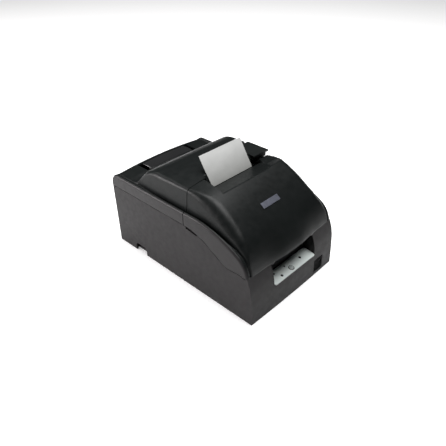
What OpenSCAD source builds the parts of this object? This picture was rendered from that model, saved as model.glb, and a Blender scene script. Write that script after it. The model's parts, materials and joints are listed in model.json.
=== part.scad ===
/* [Case] */
// Overall width of the case
body_w = 160; // [158:0.5:161]
// Overall depth of the case
body_d = 248; // [248:0.5:250]
// Wall thickness of the lower case
wall = 2.5; // [2.2:0.1:2.8]
// Thickness of the two cover shells
skin = 2.2; // [1.9:0.1:2.4]
// Height of the seam between case and roll cover
seam_z = 89.5; // [89:0.1:90]
// Width of the visible seams
seam_gap = 0.7; // [0.4:0.05:0.7]

/* [Covers] */
// Height of the roll cover's hump along its centre line
hump_z = 138.5; // [137.5:0.1:139]
// Height of the flat rims along both sides
rim_z = 107; // [106.5:0.1:107.3]
// Height of the flat deck behind the hump
deck_z = 105.5; // [105:0.1:105.8]
// Squareness of the shoulders near the cross seam
shoulder_p = 9; // [7:0.5:11]

/* [Paper] */
// Width of the paper slip and roll
paper_w = 70; // [66:0.5:70]
// Radius of the paper roll
roll_r = 37; // [22:1:38]
// Radius of the roll's core
core_r = 9; // [7:0.5:11]
// Thickness that paper is drawn with
paper_t = 0.35; // [0.3:0.05:0.5]

/* [Mechanism] */
// Radius of the carriage shaft
shaft_r = 4; // [3.5:0.1:4.5]
// Running clearance of shafts in their bores
run = 0.05; // [0.03:0.01:0.08]
// Height of the print line
line_z = 84; // [83.5:0.1:84.5]
// Teeth of the gear on the feed roller
feed_teeth = 40; // [40:1:40]
// Teeth of the idler gear
idler_teeth = 60; // [60:1:60]
// Teeth of the feed motor's pinion
pinion_teeth = 18; // [18:1:18]
// Pitch radius of the belt pulleys
pulley_r = 6; // [5.5:0.25:6.5]

/* [Hidden] */
$fn = 48;
e = 0.01;
hx = body_w/2;
hy = body_d/2;
pivot = [-60, 40];      // section planes fan out about this line in front of y = -60
ang0 = 22;              // lowest section plane
seam_y = -14;           // cross seam between the two covers
hf = [-109.9, 69.2];    // front cover hinge axis (y, z)
hr = [121.3, 91.2];     // roll cover hinge axis (y, z)
lever_ax = [14, 126];   // cover lever axis (y, z)
sl = [-19.4, 124];      // foot of the visible slip (y, z)
st = [3.3, 156.3];      // top of the slip (y, z)
g_m = 0.6;              // gear module
feed_c = [-37.6, 100];  // feed roller axis (y, z)
function rad(n) = n*g_m/2;
idl_c = feed_c + (rad(feed_teeth) + rad(idler_teeth))*[cos(-78), sin(-78)];
pin_c = idl_c + (rad(idler_teeth) + rad(pinion_teeth))*[cos(-65), sin(-65)];
cs = [-56, 62];         // carriage shaft axis (y, z)
belt_y = -90;
belt_z = 46;
roll_c = [50, 58];      // paper roll axis (y, z)

// ---- curves through points set by hand ----
function cr(p, q, r, s, t) = 0.5*((2*q) + (r - p)*t + (2*p - 5*q + 4*r - s)*t*t + (-p + 3*q - 3*r + s)*t*t*t);
function smooth(a, n = 4) = concat([for (i = [0:len(a)-2]) for (k = [0:n-1])
  cr(a[max(i-1, 0)], a[i], a[i+1], a[min(i+2, len(a)-1)], k/n)], [a[len(a)-1]]);
function x2(a, b) = a[0]*b[1] - a[1]*b[0];
// distance from p along the direction at angle a to the curve c
function ray(p, a, c, i = 0) = i >= len(c)-1 ? 60 : let (d = [-cos(a), sin(a)], u = c[i]-p, v = c[i+1]-p, cu = x2(d, u), cv = x2(d, v), t = cu/(cu - cv), w = u + t*(v - u))
  (cu*cv <= 0 && cu != cv && w*d > 0) ? w*d : ray(p, a, c, i+1);
function lerp(a, b, t) = a + (b - a)*t;
function clamp(v) = min(1, max(0, v));
function ss(v) = let (c = clamp(v)) c*c*(3 - 2*c);

rim_c = smooth([[130, rim_z], [20, rim_z], [-14, rim_z], [-38, 106.8], [-57, 104], [-73, 99.5], [-86, 94.4], [-95, 90], [-104, 84.3], [-110, 77.5], [-113.6, 70], [-115, 65.5], [-115.6, 60]], 3);
top_c = smooth([[130, hump_z], [20, hump_z], [-14, hump_z-0.2], [-30, 136.6], [-45, 132.8], [-60, 126], [-76, 115.5], [-95, 99.6], [-106, 88], [-114, 77], [-118, 69.5], [-119.2, 65], [-119.6, 60]], 3);
side_c = smooth([[130, 134.2], [20, 134.2], [-14, 134.2], [-30, 133.4], [-45, 131.2], [-59, 125.8], [-73, 118], [-93, 103.4], [-103, 92.6], [-109.6, 81], [-113.6, 71], [-114.8, 65.5], [-115.4, 60]], 3);
// lower edge of the front cover on the sides, and the upper edge of the case below it
s_cov = [[-13, seam_z+0.45], [-18, seam_z-0.1], [-37, 86.4], [-43, 84.5], [-50, 81.9], [-57.6, 76.9], [-68.7, 71.2], [-76.5, 66.2], [-84.4, 63.7], [-93.6, 64.3], [-104, 65.1], [-113, 66], [-122, 66.5]];
s_case = [[-14, seam_z-0.1], [-18.4, seam_z-0.5], [-18.6, 86.9], [-36.6, 84.2], [-37.2, 85.8], [-43, 83.9], [-50, 81.2], [-57.9, 76], [-68.9, 70.4], [-76.8, 65.4], [-84.4, 63], [-93.6, 63.6], [-104, 64.4], [-122, 65.2]];
seam_c = smooth(s_cov, 3);

// ---- cover sections ----
// half section from the centre line outwards: rt centre height, rs side height, rv valley, rr rim, rb lower edge; f front blend, p corner exponent
hxs = [0, 12, 24, 33, 38.5, 42, 47, 53, 60, 65, 68.5, 70.8, 72.2, 72.9, 73];
function half(rt, rs, rv, rr, rb, f, p, crown, tr) = concat(
  [for (x = hxs) let (s = x >= 73 ? 0 : pow(1 - pow(x/73, p), 1/p), k = ss((x - 37)/14),
      r = lerp(rt - f*6.2*pow(x/38, 2.2)*(x < 38 ? 1 : 0) - f*6.2*(x >= 38 ? 1 : 0), rs, k) - crown*pow(x/70, 2) - f*3.2*exp(-pow((x - 45)/4.2, 2)))
    [x, min(rv + (r - rv)*s, tr)]],
  [[73.5, rv - 0.2], [74.8, lerp(rv, rr, 0.25)], [76.1, lerp(rv, rr, 0.85)], [77, rr], [78.8, rr - 1], [79.8, rr - 2.8], [80, rr - 4.4], [80, rb]]);
function mir(h) = concat([for (i = [len(h)-1:-1:1]) [-h[i][0], h[i][1]]], h);
function inner(P, t) = [for (j = [0:len(P)-1]) j == 0 ? P[0] + [t, 0] : j == len(P)-1 ? P[j] - [t, 0] :
  let (d = P[j+1] - P[j-1], m = norm(d)) P[j] - t*[-d[1], d[0]]/m];
function place(P, py, a) = [for (q = P) [q[0]*hx/80, py - cos(a)*q[1], pivot[1] + sin(a)*q[1]]];
module loft(S) {
  n = len(S); N = len(S[0]); m = N/2;
  polyhedron([for (s = S) each s], concat(
    [for (i = [0:n-2]) for (k = [0:N-1]) for (h = [0, 1]) let (k2 = (k+1) % N) h == 0 ? [i*N+k, i*N+k2, (i+1)*N+k2] : [i*N+k, (i+1)*N+k2, (i+1)*N+k]],
    [for (j = [0:m-2]) for (h = [0, 1]) h == 0 ? [j+1, j, N-1-j] : [j+1, N-1-j, N-2-j]],
    [for (j = [0:m-2]) for (h = [0, 1]) let (b = (n-1)*N) h == 0 ? [b+j, b+j+1, b+N-2-j] : [b+j, b+N-2-j, b+N-1-j]]), convexity = 8);
}
function rev(a) = [for (i = [len(a)-1:-1:0]) a[i]];
function band(P, py, a) = concat(place(P, py, a), rev(place(inner(P, skin), py, a)));
// stations of the front cover: [y of the pivot, angle]
stations = concat([for (y = [seam_y - seam_gap, -20, -27, -35, -44, -52]) [y, 90]], [for (a = [90, 82, 74, 66, 58, 51, 45, 40, 36, 32.5, 29.5, 27, 24.5, ang0]) [pivot[0], a]]);
function fsec(py, a) = band(mir(fsec_half(py, a)), py, a);
function fsec_half(py, a) = let (P = [py, pivot[1]], f = ss((66 - a)/42), rr = ray(P, a, rim_c), rt = ray(P, a, top_c), rs = ray(P, a, side_c),
    dv = 1.2 + 2.8*ss((a - 30)/60), rb = min(ray(P, a, seam_c), rr - 5), q = a >= 90 ? ss((py + 60)/46) : 0)
  half(rt, rs + (1 - f)*max(0, rt - rs), min(rr - dv, rt - 3), rr, rb, f, lerp(4.6, shoulder_p, q), (1 - f)*max(0, rt - rs), 400);
// height of the roll cover at y: hump, brow, back slope, deck, rounded rear edge
function hump(y) = lookup(y, [[-20, hump_z], [20, hump_z], [30, hump_z - 0.4], [43, hump_z - 2], [51, hump_z - 4.4], [57, hump_z - 7.3], [61, hump_z - 10], [65, 124.2], [77.5, 110.2], [81, 107.7], [86, deck_z + 0.6], [92, deck_z]]);
// rise of the arched deck along its centre line
function arch(y) = 4.2*ss((y - 83)/11);
function edge(y) = y < 114 ? 0 : 10 - sqrt(max(0, 100 - pow(y - 114, 2)));
rys = [hy, 123.6, 122, 118.6, 114, 94, 90, 86, 81, 77.5, 65, 61, 57, 51, 43, 30, 20, seam_y];
function rsec(y) = let (z = hump(y) - edge(y) - pivot[1], A = arch(y), rr = rim_z - edge(y) - pivot[1], dv = lerp(3.2, 0.6, ss((y - 10)/100)), rv = min(rr - dv, z - 0.7))
  band(mir(half(z + A, z + A, rv, rr, min(seam_z + 0.4, 200) - pivot[1], 0, lerp(shoulder_p, 6, ss((y - 10)/40)), A + lerp(4.5, 0.4, ss((y - 24)/42)), 400)), y, 90);

// ---- small helpers ----
module bx(a, b) { translate(a) cube(b - a); }
module xcyl(r, x0, x1, y, z) { translate([x0, y, z]) rotate([0, 90, 0]) cylinder(r = r, h = x1 - x0); }
module ycyl(r, y0, y1, x, z) { translate([x, y1, z]) rotate([90, 0, 0]) cylinder(r = r, h = y1 - y0); }
module zcyl(r, z0, z1, x, y) { translate([x, y, z0]) cylinder(r = r, h = z1 - z0); }
module xprism(pts, x0, x1) { translate([x0, 0, 0]) rotate([90, 0, 90]) linear_extrude(x1 - x0) polygon(pts); }
module rounded(w, d, r) { union() { square([w - 2*r, d], center = true); square([w, d - 2*r], center = true); for (i = [-1, 1]) for (j = [-1, 1]) translate([i*(w/2 - r), j*(d/2 - r)]) circle(r); } }
module pair(p) { for (s = [-1, 1]) translate([s*p, 0, 0]) children(); }
// straight gear along X with n teeth, bore b, rotated so that a tooth stands at angle ph
module gear(n, c, x0, x1, b, ph) {
  r = rad(n);
  translate([x0, c[0], c[1]]) rotate([90, 0, 90]) linear_extrude(x1 - x0) difference() {
    union() {
      circle(r - 0.72, $fn = 2*n > 60 ? 96 : 64);
      for (i = [0:n-1]) rotate(ph + i*360/n) polygon([[r - 0.9, -0.62], [r - 0.05, -0.4], [r + 0.5, -0.2], [r + 0.5, 0.2], [r - 0.05, 0.4], [r - 0.9, 0.62]]);
    }
    circle(b);
  }
}

// ---- case ----
front_p = [[-hy, 0.8], [-hy+0.8, 23], [-hy+2.2, 43], [-hy+4.7, 53.6], [-hy+9.5, 65.2]];
module case_outline() { polygon(concat(front_p, rev([for (p = s_case) if (p[0] > -110) p]), [[hy - 5.8, seam_z - 0.1], [hy - 5.2, 88.1], [hy, 88.1], [hy, 0.8]])); }
module case_hollow() { polygon(concat([[-hy - 0.25 + wall, 4.5]], [for (i = [1:4]) front_p[i] + [wall, 0]], [[-104, 200], [hy - wall, 200], [hy - wall, 4.5]])); }
slope = tan(9.8);       // of the control panel
module hinge_arms() {
  difference() {
    union() {
      for (s = [-1, 1]) { bx([s*50.5 - 9.5, -106, 58], [s*50.5 + 9.5, -102.6, 63]); bx([s*58 - 2, -106, 58.5], [s*58 + 2, -103, 71]); bx([s*58 - 2, hf[0], 67.4], [s*58 + 2, -103, 71]); xcyl(2, s*58 - 2, s*58 + 2, hf[0], hf[1]); }
      for (s = [-1, 1]) { bx([s*69 - 2, hr[0] - 2, 78], [s*69 + 2, hr[0] + 0.6, hr[1]]); xcyl(2.3, s*69 - 2, s*69 + 2, hr[0], hr[1]); }
    }
    for (s = [-1, 1]) { xcyl(1.22, s*58 - 3, s*58 + 3, hf[0], hf[1]); xcyl(1.22, s*69 - 3, s*69 + 3, hr[0], hr[1]); }
  }
}
module lower_case() {
  color("#4b494b") union() {
  hinge_arms();
  difference() {
    union() {
      difference() {
        translate([-hx, 0, 0]) rotate([90, 0, 90]) linear_extrude(body_w) case_outline();
        translate([-hx + wall, 0, 0]) rotate([90, 0, 90]) linear_extrude(body_w - 2*wall) case_hollow();
        bx([-hx + wall, -hy + 4, -1], [hx - wall, hy - wall, 2]);
      }
      // block that holds the front recess, button well
      xprism([[-hy + 2.2, 31.5], [-hy + 3.4, 43], [-hy + 5.9, 53.6], [-hy + 10.6, 64.4], [-102, 64.4], [-102, 31.5]], -42.3, 42.3);
      bx([-8, -122, 28], [3, -112, 32]);
      // hinge ears, mechanism posts, board posts, ribs under the roll bin
      for (s = [-1, 1]) for (y = [-88, -20]) zcyl(4, 4, 26, s*69, y);
      for (s = [-1, 1]) for (y = [-88, -6]) zcyl(3.2, 4, 10, s*55, y);
      for (s = [-1, 1]) zcyl(3, 4, 10, s*48, 104);
      for (s = [-1, 1]) for (y = [6, 96]) bx([s*59.25 - 18.75, y - 2, 4], [s*59.25 + 18.75, y + 2, 60]);
    }
    // front recess, open through the front wall; well of the feed button
    xprism([[-hy - 6, 34.3 - 6*slope], [-104.2, 34.3 + 19.8*slope], [-104.2, 80], [-hy - 6, 80]], -40, 40);
    panel_frame() translate([-2.6, 6.2, -5]) cylinder(r = 3.2, h = 8);
    // clearance swept by the cover's rolled edge
    for (s = [-1, 1]) xcyl(6.4, s*60 - 21, s*60 + 21, hf[0], hf[1]);
    // power switch opening, cable arches, rear connector window, base opening, screw holes
    bx([40.5, -hy - 5, 4.6], [59.5, -hy + 4, 23.6]);
    for (s = [-1, 1]) xprism([[66, -1], [66, 8], [67.2, 10.8], [70, 12], [84, 12], [86.8, 10.8], [88, 8], [88, -1]], s*79 - 3, s*79 + 3);
    for (w = [[-48.5, -31.5], [-28.5, 28.5], [31.5, 48.5]]) bx([w[0], hy - 5, 10.6], [w[1], hy + 1, 26.4]);
    bx([-48, -80, -1], [48, 60, 5]);
    for (s = [-1, 1]) for (y = [-88, -20]) zcyl(1.25, 10, 27, s*69, y);
    for (s = [-1, 1]) for (y = [-99, 64]) zcyl(1.25, 1, 5, s*63, y);
  }
  }
}
module bottom_plate() { color("#77797c") difference() { union() { translate([0, -17.5, 0.8]) linear_extrude(1.2) rounded(134, 171, 4); for (s = [-1, 0, 1]) bx([s*34 - 12, -78, 1.9], [s*34 + 12, 57, 2.8]); }
  for (s = [-1, 1]) for (y = [-99, 64]) zcyl(1.6, 0, 3, s*63, y); for (i = [0:5]) bx([-45 + 16*i, -60, 0], [-41 + 16*i, -30, 4]); } }
module rubber_feet() { color("#1c1c1c") for (x = [-68, 68]) for (y = [-110.8, 110.8]) difference() { union() { zcyl(7, 0.6, 2, x, y); zcyl(6.3, 0, 1, x, y); } zcyl(3, -1, 0.7, x, y); } }
module screw(r, l, hr_, hh) { difference() { union() { cylinder(r = r, h = l); translate([0, 0, -hh]) cylinder(r = hr_, h = hh + e); } translate([0, 0, -hh - 1]) linear_extrude(1 + hh*0.6) union() { square([hr_*1.2, 0.7], center = true); square([0.7, hr_*1.2], center = true); } } }
module screws() { color("#9a9a9a") { for (s = [-1, 1]) for (y = [-99, 64]) translate([s*63, y, 0.75]) screw(1.22, 3.4, 2.6, 0.7); for (s = [-1, 1]) for (y = [-88, -20]) translate([s*69, y, 27.62]) rotate([180, 0, 0]) screw(1.22, 10, 2.8, 1.6); } }

// ---- covers ----
module trough() { // sloped clearing in front of the paper slot, and the slot itself
  slope = atan2(8.6, 27);
  intersection() {
    translate([0, -19.4, 124]) rotate([-slope, 0, 0]) bx([-90, -45, 0], [90, 30, 30]);
    linear_extrude(200) polygon([[-41, -10], [-41.3, -24], [-46.4, -52], [40, -52], [44, -40], [55, -12]]);
  }
  bx([-40.5, -22.3, 100], [50, -10, 200]);
}
module scoop() { // finger hollow in front of the lever's lip
  intersection() { translate([0, -17.4, 125]) rotate([-14, 0, 0]) bx([-90, -60, 0], [90, 30, 60]); linear_extrude(200) polygon([[44, -10], [44, -21], [57, -48], [90, -48], [90, -10]]); }
  bx([41, -17.4, 125], [90, -10, 200]);
}
// solid block that follows the outside of the front cover near the cross seam
module loft_core() { for (i = [0:4]) hull() for (j = [i, i + 1]) let (P = mir(fsec_half(stations[j][0], stations[j][1])), q = place(P, stations[j][0], 90)) translate([0, q[0][1], 0]) rotate([90, 0, 0]) linear_extrude(0.02) polygon([for (v = concat(q, [[hx, 0, 60], [-hx, 0, 60]])) [v[0], v[2]]]); }
module rib(x, y0, y1, z0, z1) { hull() { bx([x - 0.9, y0, z0], [x + 0.9, y1, z0 + 1]); bx([x - 0.6, y0, z1 - 1], [x + 0.6, y1, z1]); } }
module slant(x, a, b) { hull() for (p = [a, b]) bx([x - 0.7, p[0] - 0.6, p[1] - 3.6], [x + 0.7, p[0] + 0.6, p[1]]); }
module front_cover() {
  color("#43484a") difference() {
    union() {
      difference() {
        loft([for (s = stations) fsec(s[0], s[1])]);
        bx([-90, -130, 40], [90, -103, 65]);
        for (s = [-1, 1]) bx([s*64.3 - 25.8, -130, 40], [s*64.3 + 25.8, -108, 65.8]);
        trough();
        scoop();
      }
      // floor of the clearing, slot ends, scoop floor
      intersection() {
        translate([0, -19.4, 124]) rotate([-atan2(8.6, 27), 0, 0]) bx([-44, -31, -2], [50, -2.6, 0.1]);
        linear_extrude(200) polygon([[-42.6, -22.2], [-48, -54], [44, -54], [47, -40], [53, -22.2]]);
        xprism(concat([[-56, 60]], [for (p = top_c) if (p[0] > -60 && p[0] < -10) p - [0, 1.5]], [[-10, 60]]), -90, 90);
      }
      bx([-42.5, -24.2, 119], [-40.5, seam_y - seam_gap, 125.4]);
      bx([50, -24.2, 116], [52, seam_y - seam_gap, 125]);
      intersection() { union() { bx([50.2, -17.6, 122.6], [90, seam_y - seam_gap, 125.02]); translate([0, -17.4, 125]) rotate([-14, 0, 0]) bx([43, -34, -2.2], [90, 0, 0.02]); }
        intersection() { loft_core(); linear_extrude(200) polygon([[50.2, -10], [50.2, -22.2], [42.2, -22.2], [42.2, -23.2], [56, -50], [90, -50], [90, -10]]); } }
      for (x = [58, 66]) rib(x, -19, -15, 118, 123.2);
      rib(-58, -34, -18, 118, 131.5);
      for (s = [-1, 1]) for (x = [9, 19, 29]) slant(s*x, [-93.5, 99.6 - 0.3*x/10], [-77.5, 113.2 - 0.4*x/10]);
    }
    for (s = [-1, 1]) { bx([s*58 - 2.5, -112.1, 60], [s*58 + 2.5, -105, 68]); xcyl(2.4, s*58 - 2.5, s*58 + 2.5, hf[0], hf[1]); xcyl(1.4, s*58 - 8.5, s*58 + 8.5, hf[0], hf[1]); }
  }
}
module front_hinge_barrel() {
  color("#3f4446") difference() {
    for (s = [-1, 1]) for (x = [s*53.2, s*62.8]) union() { xcyl(2.2, x - 2.2, x + 2.2, hf[0], hf[1]); xprism([[hf[0] - 1.6, hf[1] - 0.4], [hf[0] - 3.7, hf[1] + 1.2], [hf[0] - 2.8, hf[1] + 4.2], [hf[0] - 0.8, hf[1] + 7.4], [hf[0] + 2.2, hf[1]]], x - 2.2, x + 2.2); }
    for (s = [-1, 1]) xcyl(1.2 + run, s*58 - 12, s*58 + 12, hf[0], hf[1]);
  }
}
module blank_nameplate() { color("#b4b9c4") translate([0, -79, 113.25]) rotate([37, 0, 0]) translate([0, 0, 0]) linear_extrude(0.7) rounded(30, 7.6, 0.8); }
module hinge_pins() { color("#9a9a9a") for (s = [-1, 1]) { xcyl(1.2, s*58 - 7.6, s*58 + 7.6, hf[0], hf[1]); xcyl(1.2, s*68.5 - 7, s*68.5 + 7, hr[0], hr[1]); } }
module roll_cover() {
  color("#3b4142") difference() {
    union() {
      difference() {
        loft([for (y = rys) rsec(y)]);
        // clearing behind the slip, bay of the cover lever, window opening
        translate([0, sl[0] + 0.9, sl[1]]) rotate([-35, 0, 0]) bx([-41, -30, -30], [42, 0, 40]);
        bx([41, seam_y - 1, 121], [90, 24, 200]);
        bx([-42, 92.4, 90], [42, 113, 120]);
      }
      intersection() { // back of the clearing
        translate([0, sl[0] + 0.9, sl[1]]) rotate([-35, 0, 0]) bx([-43, -0.01, -6], [41.2, 2, 16]);
        bx([-43, seam_y, 100], [41.2, 10, 136.4]);
      }
      bx([-43, seam_y, 118], [-40.9, -6, 134]);
      bx([39, seam_y, 119], [41.2, 24.6, 134]);
      bx([40.5, seam_y, 119], [71.6, 24.6, 121]);
      bx([40.5, 22.4, 119], [71, 24.6, 132.6]);
      bx([-43.6, 90.6, 104.6], [43.6, 114.8, 105.8]); // window seat
      bx([-hx, hy - 2.4, hr[1]], [hx, hy, 96.4]); // rear wall
      for (s = [-1, 1]) for (x = [46, 52]) rib(s*x, 26, 40, 129.6, 134.9);
      for (s = [-1, 1]) rib(s*46, 94, 110, 99.6, 106.4);
    }
    bx([-36, 94.4, 100], [36, 111, 107]);
    for (s = [-1, 1]) { xcyl(1.4, s*68.6 - 8, s*68.6 + 8, hr[0], hr[1]); xcyl(3.3, s*69 - 2.6, s*69 + 2.6, hr[0], hr[1]); bx([s*69 - 2.6, 116, 80], [s*69 + 2.6, 130, hr[1]]); }
    difference() { bx([-90, hr[0] - 4, 80], [90, 130, hr[1]]); xcyl(2.6, -91, 91, hr[0], hr[1]); }
    bx([63, -12, 131], [90, 25, 140]);
  }
}
module rear_hinge_barrel() {
  color("#3b4142") difference() {
    union() { xcyl(2.6, -66.2, 66.2, hr[0], hr[1]); for (s = [-1, 1]) xcyl(2.6, s*74.2 - 2.4, s*74.2 + 2.4, hr[0], hr[1]); }
    for (s = [-1, 1]) xcyl(1.2 + run, s*68.6 - 8, s*68.6 + 8, hr[0], hr[1]);
  }
}
module lever_bracket() { color("#5a5f60") difference() {
  union() { bx([42.4, lever_ax[0] - 4.5, 121], [69.6, lever_ax[0] + 4.5, 122.2]); for (x = [44, 68]) bx([x - 1.5, lever_ax[0] - 3, 122], [x + 1.5, lever_ax[0] + 3, lever_ax[1] + 2.2]); }
  xcyl(1.02, 40, 80, lever_ax[0], lever_ax[1]); } }
// smoked lens, arched both ways
function lens_z(x, y) = deck_z + 5.2 - x * x / 1160 - (y - 102.7) * (y - 102.7) / 85.2;
module roll_window() { color("#202425", 0.8) loft([for (k = [8:-1:0]) let (y = 92.8 + k * 2.475, xs = [for (i = [0:24]) -38.4 + i * 3.2]) concat([for (x = xs) [x, y, lens_z(x, y)]], rev([for (x = xs) [x, y, 105.8]]))]); }
module cover_lever() {
  color("#3d4344") difference() {
    union() {
      xprism([[-17.2, 134.2], [-17.2, 131.6], [-12.5, 130.4], [-12.5, 123.4], [lever_ax[0] + 3, 123.4], [lever_ax[0] + 5.2, 128], [lever_ax[0] + 3.4, 134.4], [0, 135]], 42, 71.6);
    }
    xprism([[-10.5, 122], [-10.5, 131.6], [8, 132.4], [8, 122]], 46.6, 69.6);
    for (x = [44, 68]) bx([x - 1.9, lever_ax[0] - 6, 118], [x + 1.9, lever_ax[0] + 8, lever_ax[1] + 4]);
    xcyl(1.0 + run, 40, 74, lever_ax[0], lever_ax[1]);
    // rounded outer shoulder
    translate([0, 0, 0]) difference() { bx([68, -20, 130.8], [74, 30, 137]); translate([68.2, 30, 131.4]) rotate([90, 0, 0]) cylinder(r = 3.4, h = 60); bx([60, -30, 120], [68.2, 40, 140]); }
  }
}
module lever_pin() { color("#9a9a9a") xcyl(1.0, 42.6, 69.4, lever_ax[0], lever_ax[1]); }

// ---- front panel and switch ----
module panel_frame() { translate([0, -hy, 34.3]) rotate([9.8, 0, 0]) children(); }
module control_panel() { color("#a9b0ae") panel_frame() difference() {
  translate([0, 9.4, 0.02]) linear_extrude(1.3) rounded(78, 18, 2.5);
  translate([-2.6, 6.2, -1]) cylinder(r = 3.1, h = 4);
  for (p = [[19.4, 10], [-7.8, 13], [-21.5, 5.6], [-27, 13]]) translate([p[0], p[1], -1]) cylinder(r = 1.05, h = 4); } }
module feed_button() { color("#7d8583") panel_frame() translate([-2.6, 6.2, -3.6]) difference() { cylinder(r = 2.9, h = 5.6); translate([0, 0, -1]) cylinder(r = 2.2, h = 4.5); translate([0, 0, 5.3]) difference() { cylinder(r = 2.3, h = 1); cylinder(r = 1.7, h = 1); } } }
module button_spring() { color("#b0b0b0") panel_frame() translate([-2.6, 6.2, -5]) difference() { cylinder(r = 2, h = 3.8); translate([0, 0, -1]) cylinder(r = 1.3, h = 8); } }
module panel_leds() { color("#5d6a60") panel_frame() for (p = [[19.4, 10], [-7.8, 13], [-21.5, 5.6], [-27, 13]]) translate([p[0], p[1], 0.02]) cylinder(r = 1, h = 1.1); }
rk = [-hy + 2.4, 13.3];
module power_switch_body() { color("#151515") difference() { bx([41, -hy + 0.9, 4.8], [59, -hy + 13, 22.9]); bx([43, -hy, 5.7], [57, -hy + 8, 20.9]); xcyl(0.9, 42, 58, rk[0] + 3, rk[1]); } }
module power_rocker() { color("#26282a") union() { xprism([for (q = [[-4.2, 6.1], [-3.2, 0], [-5.4, -6.1], [-2.2, -6.3], [1.4, -3], [1.4, 3], [-1.4, 6.3]]) q + [rk[0] + 3, rk[1]]], 43.3, 56.7); xcyl(0.85, 42.1, 57.9, rk[0] + 3, rk[1]); } }

// ---- paper ----
module roll_bin() {
  color("#2b2d2e") difference() {
    union() {
      intersection() { xcyl(42, -40.5, 40.5, roll_c[0], roll_c[1]); bx([-50, 0, 14.5], [50, 98, roll_c[1]]); }
      bx([-40.5, roll_c[0] - 42, roll_c[1] - 0.5], [40.5, roll_c[0] - 39.8, 69]);
      bx([-40.5, roll_c[0] + 39.8, roll_c[1] - 0.5], [40.5, roll_c[0] + 42, 86]);
      for (s = [-1, 1]) bx([s*39.5 - 1, roll_c[0] - 42, roll_c[1] - 0.5], [s*39.5 + 1, roll_c[0] + 42, 86]);
      for (s = [-1, 1]) bx([s*50.5 - 10.5, roll_c[0] - 42, 60], [s*50.5 + 10.5, roll_c[0] + 42, 62]);
      for (s = [-1, 1]) for (y = [6, 96]) bx([s*50 - 10, y - 4, 60], [s*50 + 10, y + 4, 62]);
    }
    intersection() { xcyl(39.8, -38.5, 38.5, roll_c[0], roll_c[1]); bx([-39, 0, 10], [39, 100, roll_c[1] + 1]); }
    bx([-38.5, roll_c[0] - 39.8, roll_c[1]], [38.5, roll_c[0] + 39.8, 90]);
  }
}
module paper_roll() { color("#e9e8e4") difference() { xcyl(roll_r, -paper_w/2, paper_w/2, roll_c[0], roll_c[1] - 2); xcyl(core_r + e, -40, 40, roll_c[0], roll_c[1] - 2); } }
module roll_core() { color("#b79a72") difference() { xcyl(core_r, -paper_w/2, paper_w/2, roll_c[0], roll_c[1] - 2); xcyl(core_r - 1.5, -40, 40, roll_c[0], roll_c[1] - 2); } }
// strip of thickness t along a curve c of (y, z) points
function strip(c, t) = concat([for (i = [0:len(c)-1]) let (d = c[min(i+1, len(c)-1)] - c[max(i-1, 0)], m = norm(d)) c[i] + t/2*[-d[1], d[0]]/m], rev([for (i = [0:len(c)-1]) let (d = c[min(i+1, len(c)-1)] - c[max(i-1, 0)], m = norm(d)) c[i] - t/2*[-d[1], d[0]]/m]));
web_c = smooth([roll_c + [0, -2] + (roll_r + 0.5)*[cos(118), sin(118)], [5, 73.6], [-10, 64.8], [-20, 59.6], [-28, 60.6], [-32, 67], [-32.3, 76], [-32.3, 90], [-32.3, 104], [-30.6, 109.5], [-27.4, 114]], 4);
module paper_web() { color("#e9e8e4") xprism(strip(web_c, paper_t), -paper_w/2, paper_w/2); }
slip_c = smooth([[-20.2, 122.7], sl, [-14.4, 131], [-8.6, 139], [-2.6, 147.6], st], 4);
module paper_slip() { color("#d6d6d3") xprism(strip(slip_c, paper_t), -paper_w/2, paper_w/2); }

// ---- print mechanism ----
module side_plate(x0, x1) {
  difference() {
    union() {
      xprism([[-97, 26], [-12, 26], [-12, 60], [-16, 78], [-20, 98], [-25, 108], [-62, 108], [-72, 104.6], [-82, 92], [-90, 82], [-97, 66]], x0, x1);
      bx([x0 < 0 ? -65 : 58, -70, 103.4], [x0 < 0 ? -58 : 65, -60, 104.6]);
      s = x0 < 0 ? -1 : 1;
      for (y = [-88, -20]) bx([min(x0, s*74), y - 6, 26], [max(x1, s*74), y + 6, 27.6]);
    }
    xcyl(shaft_r + 0.02, x0 - 1, x1 + 1, cs[0], cs[1]);
    xcyl(3 + run, x0 - 1, x1 + 1, feed_c[0], feed_c[1]);
    for (y = [-88, -20]) zcyl(1.6, 20, 30, (x0 < 0 ? -69 : 69), y);
  }
}
module left_frame() { color("#8d9092") side_plate(-65.6, -64); }
module right_frame() { color("#8d9092") difference() { side_plate(64, 65.6); xcyl(7, 60, 70, pin_c[0], pin_c[1]); xcyl(2.02, 60, 70, idl_c[0], idl_c[1]); } }
module frame_base() { color("#85888a") difference() { union() { bx([-64, -97, 26], [64, -12, 27.6]); bx([-34, -97, 27.5], [42, -95.4, 43]); bx([-64, -13.6, 27.5], [64, -12, 36]); for (x = [36.6, 42]) bx([x, -23, 27.5], [x + 1.2, -17, 68.5]); }
  for (i = [-1, 1]) bx([i*24 - 14, -76, 20], [i*24 + 14, -40, 30]); for (x = [-50, 50]) zcyl(2.3, 20, 30, x, belt_y); bx([-30, -98, 33], [30, -90, 50]); xcyl(1.5 + run, 36, 44, -20, 66); } }
module carriage_shaft() { color("#c9ccce") xcyl(shaft_r, -66.6, 66.6, cs[0], cs[1]); }
module guide_rail() { color("#a9acae") union() { bx([-64, -81, 56], [64, -79.4, 66]); bx([-64, -80.5, 56], [64, -74, 57.4]); } }
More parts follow.
